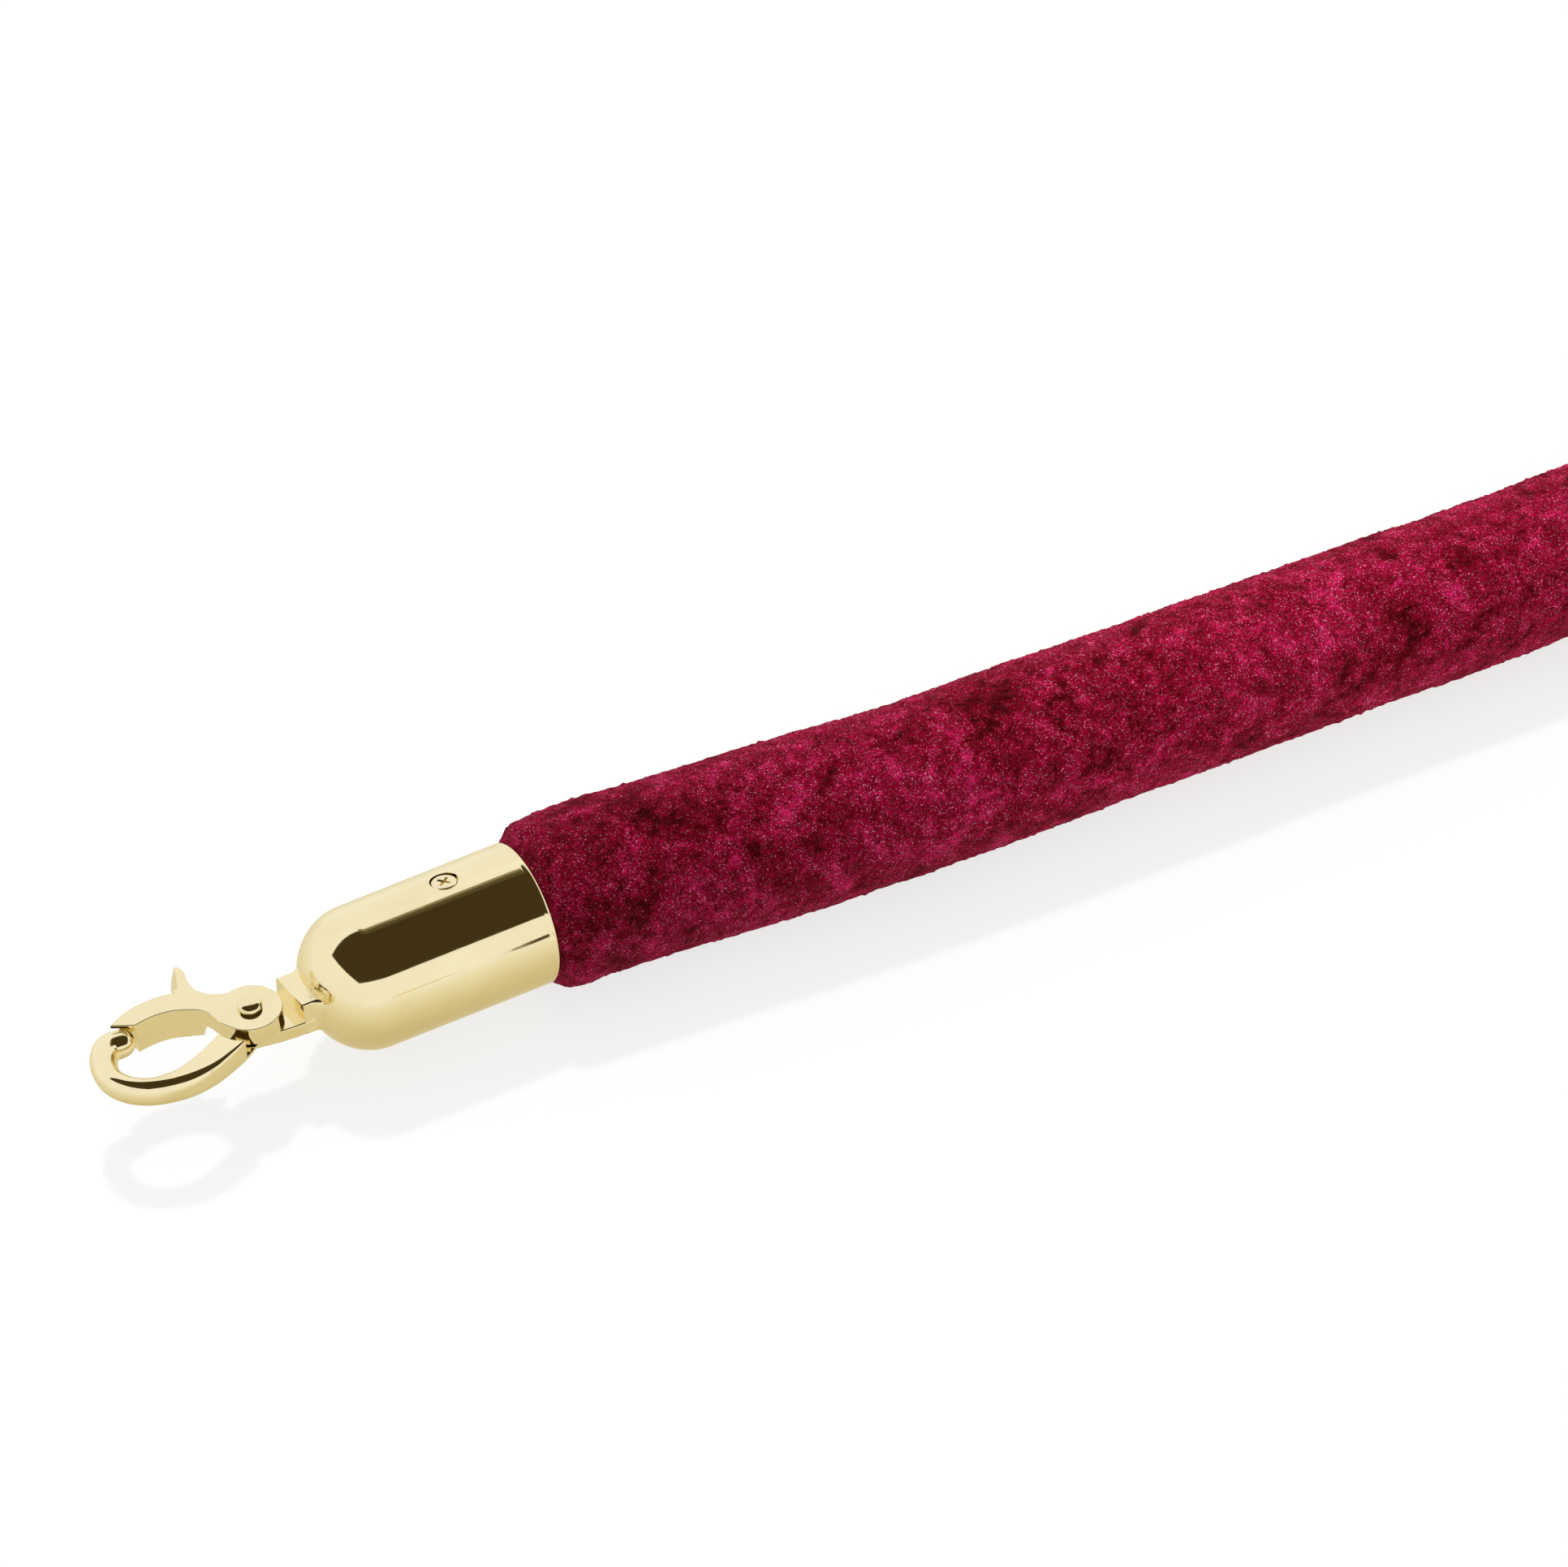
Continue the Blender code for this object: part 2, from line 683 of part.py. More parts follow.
def main():
    clear_scene()
    parts = new_collection("velvet_barrier_rope")
    build_end("a", PIVOT_A, parts)
    build_end("b", PIVOT_B, parts)
    finish(velvet_sleeve(), "velvet_sleeve", VELVET, None, parts)
    finish(core_padding(), "core_padding", PADDING, None, parts)
    finish(core_cord(), "core_cord", CORD, None, parts)


main()
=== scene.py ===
"""Velvet barrier rope: fine surfaces, materials, floor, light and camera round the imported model."""

import json
import math

import bpy
import numpy as np
from mathutils import Matrix, Vector, noise


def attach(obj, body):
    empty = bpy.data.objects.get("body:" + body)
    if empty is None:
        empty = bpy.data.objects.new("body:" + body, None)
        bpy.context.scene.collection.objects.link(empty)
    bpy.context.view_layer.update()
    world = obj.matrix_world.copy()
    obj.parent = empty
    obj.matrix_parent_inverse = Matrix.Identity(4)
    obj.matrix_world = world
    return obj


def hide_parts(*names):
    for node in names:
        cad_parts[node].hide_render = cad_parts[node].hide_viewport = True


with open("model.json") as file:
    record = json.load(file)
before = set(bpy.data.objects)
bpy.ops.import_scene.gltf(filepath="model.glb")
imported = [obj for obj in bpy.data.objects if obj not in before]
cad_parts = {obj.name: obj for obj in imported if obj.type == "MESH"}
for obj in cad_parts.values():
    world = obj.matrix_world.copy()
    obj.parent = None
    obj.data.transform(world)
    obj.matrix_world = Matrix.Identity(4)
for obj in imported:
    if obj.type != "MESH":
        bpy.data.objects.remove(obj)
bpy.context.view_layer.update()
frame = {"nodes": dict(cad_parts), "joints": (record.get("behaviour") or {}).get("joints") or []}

MM = 0.001

# ---- sizes, in millimetres, in each end's own frame: origin at the gate's pivot, +X into the rope ----
ROPE_RADIUS = 18.0
MOUTH_X = 60.1
MOUTH_RADIUS = 15.1
DOME_START_X = 24.4
DOME_RADIUS = 14.8
DOME_APEX_X = 11.3
BORE_RADIUS = 12.4
HALF_HEIGHT = 3.75
BLOCK_FRONT_X = 8.8
BLOCK_HALF_WIDTH = 4.9
DISC_RADIUS = 6.3
SPLIT_Z = -0.5
GAP = 0.3
RIVET_HEAD_RADIUS = 2.5
SCREW_X = 43.9
SCREW_TURN_DEG = -8.0
COUNTERBORE_RADIUS = 2.9
SLEEVE_END_X = 54.0  # the sleeve is tucked into the cap as far as here
STRAIGHT_X = 74.0  # the rope leaves the cap straight as far as here
TURN_START = 0.47  # metres past PIVOT_A, where the rope's half turn begins
TURN_LEAST_RADIUS = 17.9  # keeps the sleeve's dents there outside the padding
SCUFF = Vector((0.0124, -0.0028, 0.0042))  # the corner of block and dome, metres from the pivot
GOLD_ROUGHNESS = 0.055

# ---- where the ends lie: the hinges of the two gates are their pivots ----
PIVOTS = {joint["name"].split("_")[1]: Vector(joint["pos_m"]) for joint in frame["joints"]}
PIVOT_A, PIVOT_B = PIVOTS["a"], PIVOTS["b"]

# The rope's route between the caps, in metres from PIVOT_A.
ROUTE = [
    (0.0900, -0.0018),
    (0.1200, -0.0050),
    (0.1550, -0.0078),
    (0.1950, -0.0099),
    (0.2350, -0.0116),
    (0.2750, -0.0136),
    (0.3150, -0.0148),
    (0.3600, -0.0155),
    (0.4100, -0.0155),
    (0.4600, -0.0150),
    (0.5150, -0.0145),
    (0.5720, -0.0170),
    (0.6210, -0.0275),
    (0.6630, -0.0555),
    (0.6910, -0.0975),
    (0.7010, -0.1465),
    (0.6910, -0.1960),
    (0.6630, -0.2375),
    (0.6210, -0.2655),
    (0.5720, -0.2765),
    (0.5150, -0.2790),
    (0.4600, -0.2795),
    (0.4050, -0.2785),
    (0.3500, -0.2770),
    (0.2950, -0.2765),
    (0.2400, -0.2765),
    (0.2000, -0.2760),
]


# ---- camera ----
def make_camera():
    """A long lens looking down at end A, with the rope running off to the right."""
    data = bpy.data.cameras.new("camera")
    data.sensor_width = 36.0
    data.lens = 85.756
    data.clip_start, data.clip_end = 0.01, 50.0
    camera = bpy.data.objects.new("camera", data)
    camera.location = PIVOT_A + Vector((-0.176204, -0.497006, 0.514780))
    camera.rotation_euler = (math.radians(48.763), 0.0, math.radians(-30.867))
    bpy.context.scene.collection.objects.link(camera)
    bpy.context.scene.camera = camera


# ---- materials ----
class Shader:
    """A material's node tree, with its Principled shader at hand."""

    def __init__(self, name):
        self.material = bpy.data.materials.new(name)
        self.material.use_nodes = True
        self.tree = self.material.node_tree
        self.main = self.tree.nodes["Principled BSDF"]
        self.place = self.node("ShaderNodeTexCoord").outputs["Object"]

    def node(self, kind, **values):
        made = self.tree.nodes.new(kind)
        for key, value in values.items():
            setattr(made, key, value)
        return made

    def link(self, source, target):
        self.tree.links.new(source, target)

    def set(self, **values):
        for key, value in values.items():
            self.main.inputs[key.replace("_", " ")].default_value = value

    def noise(self, scale, detail=3.0, roughness=0.5, distortion=0.0, stretch=None):
        made = self.node("ShaderNodeTexNoise")
        made.inputs["Scale"].default_value = scale
        made.inputs["Detail"].default_value = detail
        made.inputs["Roughness"].default_value = roughness
        made.inputs["Distortion"].default_value = distortion
        place = self.place
        if stretch:
            mapping = self.node("ShaderNodeMapping")
            mapping.inputs["Scale"].default_value = stretch
            self.link(place, mapping.inputs["Vector"])
            place = mapping.outputs["Vector"]
        self.link(place, made.inputs["Vector"])
        return made.outputs["Fac"]

    def ramp(self, source, *stops):
        made = self.node("ShaderNodeValToRGB")
        bar = made.color_ramp
        while len(bar.elements) < len(stops):
            bar.elements.new(0.5)
        for element, (position, value) in zip(bar.elements, stops):
            element.position = position
            colour = value if isinstance(value, tuple) else (value,) * 3
            element.color = (*colour, 1.0)
        self.link(source, made.inputs["Fac"])
        return made.outputs["Color"]

    def mix(self, factor, first, second, blend="MIX"):
        made = self.node("ShaderNodeMix", data_type="RGBA", blend_type=blend)
        for socket, value in ((0, factor), (6, first), (7, second)):
            if isinstance(value, (int, float)):
                made.inputs[socket].default_value = value
            elif isinstance(value, tuple):
                made.inputs[socket].default_value = (*value, 1.0)
            else:
                self.link(value, made.inputs[socket])
        return made.outputs[2]

    def bump(self, height, distance, strength=1.0, after=None):
        made = self.node("ShaderNodeBump")
        made.inputs["Distance"].default_value = distance
        made.inputs["Strength"].default_value = strength
        self.link(height, made.inputs["Height"])
        if after:
            self.link(after, made.inputs["Normal"])
        return made.outputs["Normal"]


def gold_shader(name, roughness, corner=None):
    """Pale gold plating: polished, with faint buffing haze and fine handling marks. Round a
    corner that the buffing wheel can't reach, it keeps specks of the casting's skin."""
    gold = Shader(name)
    gold.set(Metallic=1.0)
    cloud = gold.noise(90, 4.0, 0.55)
    tone = gold.ramp(cloud, (0.30, (0.890, 0.775, 0.480)), (0.70, (0.930, 0.825, 0.535)))
    streaks = gold.noise(330, 3.0, 0.6, stretch=(0.04, 1.0, 1.0))
    tone = gold.mix(1.0, tone, gold.ramp(streaks, (0.32, 0.955), (0.68, 1.0)), "MULTIPLY")
    haze = gold.noise(420, 3.0, 0.6)
    shine = gold.ramp(haze, (0.25, roughness * 0.7), (0.75, roughness * 1.5))
    marks = gold.noise(2600, 2.0, 0.5, stretch=(0.25, 1.0, 1.0))
    swell = gold.noise(160, 2.0, 0.4)
    normal = gold.bump(swell, 0.00006, 0.25)
    normal = gold.bump(marks, 0.000004, 0.2, after=normal)
    if corner:
        away = gold.node("ShaderNodeVectorMath", operation="DISTANCE")
        gold.link(gold.place, away.inputs[0])
        away.inputs[1].default_value = corner
        span = gold.node("ShaderNodeMapRange")
        span.inputs["From Min"].default_value = 0.0004
        span.inputs["From Max"].default_value = 0.0030
        span.inputs["To Min"].default_value = 1.0
        span.inputs["To Max"].default_value = 0.0
        gold.link(away.outputs["Value"], span.inputs["Value"])
        grain = gold.noise(1900, 3.0, 0.6, 0.4)
        speck = gold.ramp(grain, (0.51, 0.0), (0.68, 0.8))
        skin = gold.mix(1.0, span.outputs["Result"], speck, "MULTIPLY")
        tone = gold.mix(skin, tone, (0.16, 0.11, 0.045))
        shine = gold.mix(skin, shine, (0.45, 0.45, 0.45))
        rough = gold.mix(1.0, span.outputs["Result"], grain, "MULTIPLY")
        normal = gold.bump(rough, 0.00010, 0.5, after=normal)
    gold.link(tone, gold.main.inputs["Base Color"])
    gold.link(shine, gold.main.inputs["Roughness"])
    gold.link(normal, gold.main.inputs["Normal"])
    return gold.material


def velvet_shader():
    """Crushed velvet: patches of flattened pile, tufts, and painted glints of fibre tips in its colour."""
    velvet = Shader("crushed_velvet")
    velvet.set(Roughness=0.8, Sheen_Weight=0.36, Sheen_Roughness=0.24)
    velvet.set(Sheen_Tint=(1.0, 0.05, 0.17, 1.0), Specular_IOR_Level=0.03)
    patches = velvet.noise(64, 5.0, 0.66, 0.9)
    tufts = velvet.noise(330, 4.0, 0.65, 0.5)
    pile = velvet.noise(1700, 3.0, 0.7)
    lay = velvet.mix(0.50, patches, tufts)
    tone = velvet.ramp(
        lay,
        (0.37, (0.050, 0.0002, 0.0010)),
        (0.44, (0.140, 0.0004, 0.0060)),
        (0.54, (0.275, 0.0018, 0.0260)),
        (0.68, (0.640, 0.0150, 0.1250)),
    )
    shade = velvet.ramp(pile, (0.33, 0.36), (0.67, 1.65))
    tone = velvet.mix(1.0, tone, shade, "MULTIPLY")
    # painted glints: pale pink specks painted into the base colour where fibre tips would catch the light,
    # fewer on the darker patches
    tips = velvet.noise(3300, 2.0, 0.6, stretch=(1.0, 0.8, 1.0))
    glint = velvet.ramp(tips, (0.615, 0.0), (0.700, 1.0))
    lit = velvet.ramp(lay, (0.40, 0.08), (0.56, 1.0))
    glint = velvet.mix(1.0, glint, lit, "MULTIPLY")
    tone = velvet.mix(glint, tone, (1.0, 0.44, 0.58))
    # near each cap the pile is pressed flat, and painted shade from the cap darkens it there too
    for pivot in (PIVOT_A, PIVOT_B):
        away = velvet.node("ShaderNodeVectorMath", operation="DISTANCE")
        velvet.link(velvet.place, away.inputs[0])
        away.inputs[1].default_value = end_point(pivot, MOUTH_X)
        pressed_and_shaded = velvet.node("ShaderNodeMapRange")
        for socket, value in (("From Min", 0.02), ("From Max", 0.16), ("To Min", 0.60), ("To Max", 1.0)):
            pressed_and_shaded.inputs[socket].default_value = value
        velvet.link(away.outputs["Value"], pressed_and_shaded.inputs["Value"])
        tone = velvet.mix(1.0, tone, pressed_and_shaded.outputs["Result"], "MULTIPLY")
    velvet.link(tone, velvet.main.inputs["Base Color"])
    normal = velvet.bump(tufts, 0.0014, 0.6)
    normal = velvet.bump(pile, 0.0006, 0.9, after=normal)
    velvet.link(normal, velvet.main.inputs["Normal"])
    return velvet.material


def plain_fibre(name, low, high, scale):
    """A dull fibrous material between two tones, for the foam, the cord and the thread."""
    fibre = Shader(name)
    fibre.set(Roughness=0.9)
    grain = fibre.noise(scale, 4.0, 0.6)
    fibre.link(fibre.ramp(grain, (0.3, low), (0.7, high)), fibre.main.inputs["Base Color"])
    fibre.link(fibre.bump(grain, 0.0004, 0.6), fibre.main.inputs["Normal"])
    return fibre.material


def timber_shader():
    timber = Shader("turned_timber")
    timber.set(Roughness=0.6)
    grain = timber.noise(260, 5.0, 0.6, 0.6, stretch=(0.12, 1.0, 1.0))
    tone = timber.ramp(grain, (0.3, (0.33, 0.19, 0.09)), (0.7, (0.60, 0.42, 0.23)))
    timber.link(tone, timber.main.inputs["Base Color"])
    timber.link(timber.bump(grain, 0.0002, 0.4), timber.main.inputs["Normal"])
    return timber.material


def steel_shader():
    steel = Shader("spring_steel")
    steel.set(Metallic=1.0)
    cloud = steel.noise(900, 3.0)
    tone = steel.ramp(cloud, (0.3, (0.42, 0.42, 0.43)), (0.7, (0.60, 0.60, 0.61)))
    steel.link(tone, steel.main.inputs["Base Color"])
    shine = steel.ramp(cloud, (0.3, 0.22), (0.7, 0.38))
    steel.link(shine, steel.main.inputs["Roughness"])
    return steel.material


# ---- meshes ----
def mesh_object(name, verts_mm, faces):
    mesh = bpy.data.meshes.new(name)
    mesh.from_pydata([tuple(np.asarray(v, float) * MM) for v in verts_mm], [], faces)
    mesh.update()
    obj = bpy.data.objects.new(name, mesh)
    bpy.context.scene.collection.objects.link(obj)
    return obj


def loft(name, rings):
    """A skin over rings with the same number of points, with flat ends."""
    count = len(rings[0])
    verts = [point for ring in rings for point in ring]
    faces = []
    for r in range(len(rings) - 1):
        for i in range(count):
            j = (i + 1) % count
            a, b = r * count, (r + 1) * count
            faces.append((a + i, a + j, b + j, b + i))
    faces.append(tuple(reversed(range(count))))
    faces.append(tuple((len(rings) - 1) * count + i for i in range(count)))
    return outward(mesh_object(name, verts, faces))


def outward(obj):
    """Turns a closed mesh's faces outwards."""
    mesh = obj.data
    mesh.calc_loop_triangles()
    points = np.array([v.co for v in mesh.vertices])
    corners = points[np.array([t.vertices for t in mesh.loop_triangles])]
    if np.linalg.det(corners).sum() < 0:
        mesh.flip_normals()
    return obj


def turned(name, profile, steps, along="Z"):
    """A turned solid from (radius, height) points, from axis to axis or as a closed loop."""
    rings, poles = [], {}
    verts, faces = [], []
    for k, (radius, height) in enumerate(profile):
        if radius < 1e-6:
            poles[k] = len(verts)
            rings.append([len(verts)] * steps)
            verts.append((0.0, 0.0, height))
            continue
        ring = []
        for i in range(steps):
            angle = 2 * math.pi * i / steps
            ring.append(len(verts))
            verts.append((radius * math.cos(angle), radius * math.sin(angle), height))
        rings.append(ring)
    closed = not poles
    pairs = list(zip(range(len(profile)), range(1, len(profile))))
    if closed:
        pairs.append((len(profile) - 1, 0))
    for a, b in pairs:
        for i in range(steps):
            j = (i + 1) % steps
            corners = (rings[a][i], rings[a][j], rings[b][j], rings[b][i])
            kept = tuple(dict.fromkeys(corners))
            if len(kept) > 2:
                faces.append(kept)
    if along == "X":
        verts = [(z, y, -x) for x, y, z in verts]
    return outward(mesh_object(name, verts, faces))


def arc(radius, start_deg, end_deg, steps, centre=(0.0, 0.0)):
    """(x, y) points along an arc, both its ends included."""
    return [
        (
            centre[0] + radius * math.cos(math.radians(start_deg + (end_deg - start_deg) * i / steps)),
            centre[1] + radius * math.sin(math.radians(start_deg + (end_deg - start_deg) * i / steps)),
        )
        for i in range(steps + 1)
    ]


def smooth_points(knots, steps):
    """A Catmull-Rom curve through the knots, with this many steps between two of them."""
    knots = [Vector(knot) for knot in knots]
    ends = [2 * knots[0] - knots[1], *knots, 2 * knots[-1] - knots[-2]]
    points = []
    for before, start, end, after in zip(ends, ends[1:], ends[2:], ends[3:]):
        for i in range(steps):
            t = i / steps
            points.append(
                0.5
                * (
                    2 * start
                    + (end - before) * t
                    + (2 * before - 5 * start + 4 * end - after) * t**2
                    + (3 * start - before - 3 * end + after) * t**3
                )
            )
    points.append(knots[-1])
    return points


def curve_xy(knots, steps=8):
    return [tuple(point) for point in smooth_points(knots, steps)]


def slab(name, outline, low, high, edge=0.0):
    """A flat piece with this outline between two heights, its rim edges rounded by edge."""
    count = len(outline)
    verts = [(x, y, low) for x, y in outline] + [(x, y, high) for x, y in outline]
    faces = [tuple(reversed(range(count))), tuple(range(count, 2 * count))]
    for i in range(count):
        j = (i + 1) % count
        faces.append((i, j, count + j, count + i))
    obj = outward(mesh_object(name, verts, faces))
    if edge:
        weights = obj.data.attributes.new("bevel_weight_edge", "FLOAT", "EDGE")
        for line in obj.data.edges:
            heights = {round(obj.data.vertices[v].co.z / MM, 4) for v in line.vertices}
            rim = heights in ({round(high, 4)}, {round(low, 4)})
            weights.data[line.index].value = 1.0 if rim else 0.0
        step = obj.modifiers.new("edge", "BEVEL")
        step.width = edge * MM
        step.segments = 4
        step.limit_method = "WEIGHT"
        step.use_clamp_overlap = True
        apply_modifiers(obj)
    return obj


def cube(name, low, high):
    outline = [(low[0], low[1]), (high[0], low[1]), (high[0], high[1]), (low[0], high[1])]
    return slab(name, outline, low[2], high[2])


def apply_modifiers(obj):
    bpy.context.view_layer.update()
    graph = bpy.context.evaluated_depsgraph_get()
    mesh = bpy.data.meshes.new_from_object(obj.evaluated_get(graph))
    obj.modifiers.clear()
    obj.data = mesh


def combine(target, tools, operation):
    """Joins the tools to the target or cuts them from it, and removes them."""
    for tool in tools:
        step = target.modifiers.new("combine", "BOOLEAN")
        step.operation = operation
        step.solver = "EXACT"
        step.object = tool
        apply_modifiers(target)
        bpy.data.objects.remove(tool, do_unlink=True)
    return target


def polish(obj, sharp_deg=32.0):
    """Smooth shading that keeps edges sharper than this angle."""
    obj.data.shade_smooth()
    obj.data.set_sharp_from_angle(angle=math.radians(sharp_deg))
    step = obj.modifiers.new("even_normals", "WEIGHTED_NORMAL")
    step.keep_sharp = True
    step.weight = 80
    return obj


# ---- the casting: cap, block, shank and the fixed half of the hook ----
def dome_x(radius):
    """Where the dome's outer surface lies at this radius."""
    share = min(1.0, radius / DOME_RADIUS)
    return DOME_START_X - (DOME_START_X - DOME_APEX_X) * math.sqrt(1 - share**2)


def cap_shell():
    """The hollow domed cap, with a fine groove just behind its mouth."""
    outer, lip = [], 0.55
    for i in range(40, -1, -1):
        a = math.pi / 2 * i / 40
        depth = DOME_START_X - DOME_APEX_X
        outer.append((DOME_RADIUS * math.cos(a), DOME_START_X - depth * math.sin(a)))
    outer[0] = (0.0, DOME_APEX_X)
    for i in range(1, 12):
        t = i / 12
        x = DOME_START_X + (MOUTH_X - 1.6 - DOME_START_X) * t
        outer.append((DOME_RADIUS + (MOUTH_RADIUS - DOME_RADIUS) * t, x))
    outer += [
        (MOUTH_RADIUS - 0.02, MOUTH_X - 1.55),
        (MOUTH_RADIUS - 0.09, MOUTH_X - 1.35),
        (MOUTH_RADIUS - 0.09, MOUTH_X - 1.15),
        (MOUTH_RADIUS, MOUTH_X - 0.95),
    ]
    for i in range(7):
        a = math.pi / 2 * i / 6
        outer.append((MOUTH_RADIUS - lip + lip * math.cos(a), MOUTH_X - lip + lip * math.sin(a)))
    inner = [
        (MOUTH_RADIUS - 1.5, MOUTH_X),
        (BORE_RADIUS + 0.35, MOUTH_X - 0.5),
        (BORE_RADIUS, MOUTH_X - 1.2),
        (BORE_RADIUS, DOME_START_X),
    ]
    for i in range(1, 13):
        a = math.pi / 2 * i / 12
        inner.append((BORE_RADIUS * math.cos(a), DOME_START_X - 7.9 * math.sin(a)))
    inner[-1] = (0.0, DOME_START_X - 7.9)
    return turned("cap_shell", outer + inner, 160, "X")


def rounded_section(half_y, top, bottom, radii, per_corner=8):
    """(y, z) points round a section. radii are the corners' (width, height) radii, from
    top right (+y) and on anticlockwise as seen from +X's end."""
    corners = [
        (half_y, top, 0, radii[0]),
        (-half_y, top, 90, radii[1]),
        (-half_y, -bottom, 180, radii[2]),
        (half_y, -bottom, 270, radii[3]),
    ]
    points = []
    for y, z, start, (wide, tall) in corners:
        centre_y = y - math.copysign(wide, y)
        centre_z = z - math.copysign(tall, z)
        for i in range(per_corner + 1):
            angle = math.radians(start + 90 * i / per_corner)
            points.append((centre_y + wide * math.cos(angle), centre_z + tall * math.sin(angle)))
    return points


def block():
    """The block between shank and dome. Its top runs flat into the dome; its sides and its
    underside flare into it."""
    radius, flare, turn = 0.4, 2.7, math.radians(62)
    inner_y, inner_z = BLOCK_HALF_WIDTH - radius, HALF_HEIGHT - radius
    points = []
    for y, z, start in ((1, 1, 0), (-1, 1, 90), (-1, -1, 180), (1, -1, 270)):
        for i in range(9):
            angle = math.radians(start + 90 * i / 8)
            way = (math.cos(angle), math.sin(angle))
            points.append(((y * inner_y + radius * way[0], z * inner_z + radius * way[1]), way))
        last, way = points[-1]
        across = (-way[1], way[0])
        length = 2 * (inner_z if start in (90, 270) else inner_y)
        for i in range(1, 8):
            spot = (last[0] + across[0] * length * i / 8, last[1] + across[1] * length * i / 8)
            points.append((spot, way))
    rings = [[] for _ in range(12)]
    for (y, z), (way_y, way_z) in points:
        # the sides lean out a little towards the underside, and the front is askew
        y *= 1 + 0.06 * (1 - z / HALF_HEIGHT)
        front = BLOCK_FRONT_X - 0.4 - 0.6 * y / BLOCK_HALF_WIDTH
        push_z = way_z if way_z < 0 else 0.0
        size = max(0.12, flare * math.hypot(way_y, push_z))
        scale = 1 / max(1e-6, math.hypot(way_y, push_z))
        push = (way_y * scale, push_z * scale) if size > 0.12 else (0.0, 0.0)
        grow = size * (1 - math.cos(turn))
        reach = math.hypot(y + push[0] * grow, z + push[1] * grow)
        start = dome_x(reach) - size * math.sin(turn)
        rings[0].append((front, y, z))
        for k in range(9):
            angle = turn * k / 8
            grow = size * (1 - math.cos(angle))
            x = max(front + 0.02 + 0.01 * k, start + size * math.sin(angle))
            rings[1 + k].append((x, y + push[0] * grow, z + push[1] * grow))
        edge = rings[9][-1]
        rings[10].append((edge[0] + 1.3, edge[1], edge[2]))
        rings[11].append((14.2, 0.2 * y, 0.2 * z))
    return loft("block", rings)


def hook_ring():
    """The fixed half of the eye. Near the shank its top is flat with a rounded outer
    shoulder; towards the nose it becomes a round bar, and the nose is a round end."""
    # x, y, half width, top, bottom, inner and outer shoulder radii, then how round it is
    knots = [
        (-1.5, -2.6, 2.6, 3.75, 3.75, 0.2, 0.25, 0.0),
        (-5.2, -4.9, 2.9, 3.75, 3.60, 0.2, 0.40, 0.0),
        (-9.0, -7.0, 2.75, 3.75, 3.2, 0.2, 0.80, 0.0),
        (-12.8, -8.7, 2.6, 3.75, 2.8, 0.25, 1.25, 0.0),
        (-17.0, -9.7, 2.35, 3.75, 2.4, 0.5, 1.8, 0.10),
        (-21.0, -9.4, 2.25, 3.70, 2.3, 0.9, 1.9, 0.45),
        (-24.8, -8.1, 2.25, 3.60, 2.3, 1.5, 2.0, 0.85),
        (-27.9, -5.6, 2.35, 3.40, 2.4, 2.0, 2.0, 1.0),
        (-29.8, -2.1, 2.45, 3.20, 2.5, 2.0, 2.0, 1.0),
        (-30.0, 1.4, 2.55, 3.05, 2.5, 2.0, 2.0, 1.0),
        (-29.0, 4.8, 2.75, 3.00, 2.6, 2.0, 2.0, 1.0),
        (-27.0, 7.1, 2.95, 2.90, 2.7, 2.0, 2.0, 1.0),
        (-24.5, 7.3, 2.95, 2.80, 2.7, 2.0, 2.0, 1.0),
    ]
    stations = [tuple(knot) for knot in smooth_points(knots, 8)]
    centres = [Vector(s[:2]) for s in stations]
    tangents = []
    for i in range(len(centres)):
        before, after = centres[max(0, i - 1)], centres[min(len(centres) - 1, i + 1)]
        tangents.append((after - before).normalized())
    plan = [(c, t, 1.0, s[2:]) for c, t, s in zip(centres, tangents, stations)]
    end, way, _, values = plan[-1]
    for k in range(1, 10):
        angle = math.pi / 2 * k / 9.3
        spot = end + way * values[0] * math.sin(angle)
        plan.append((spot, way, math.cos(angle), values))
    rings = []
    for centre, tangent, shrink, (width, top, bottom, inner, outer, full) in plan:
        # across points to the inner side of the bow
        across = Vector((tangent.y, -tangent.x))
        full = min(1.0, max(0.0, full))

        def corner(radius, height):
            radius = min(radius, width, height)
            return (
                (radius + (width - radius) * full) * shrink,
                (radius + (height - radius) * full) * shrink,
            )

        low = (width * shrink, bottom * shrink)
        section = rounded_section(
            width * shrink, top * shrink, bottom * shrink, [corner(inner, top), corner(outer, top), low, low]
        )
        ring = []
        for y, z in section:
            spot = centre + across * y
            ring.append((spot.x, spot.y, z))
        rings.append(ring)
    return loft("hook_ring", rings)


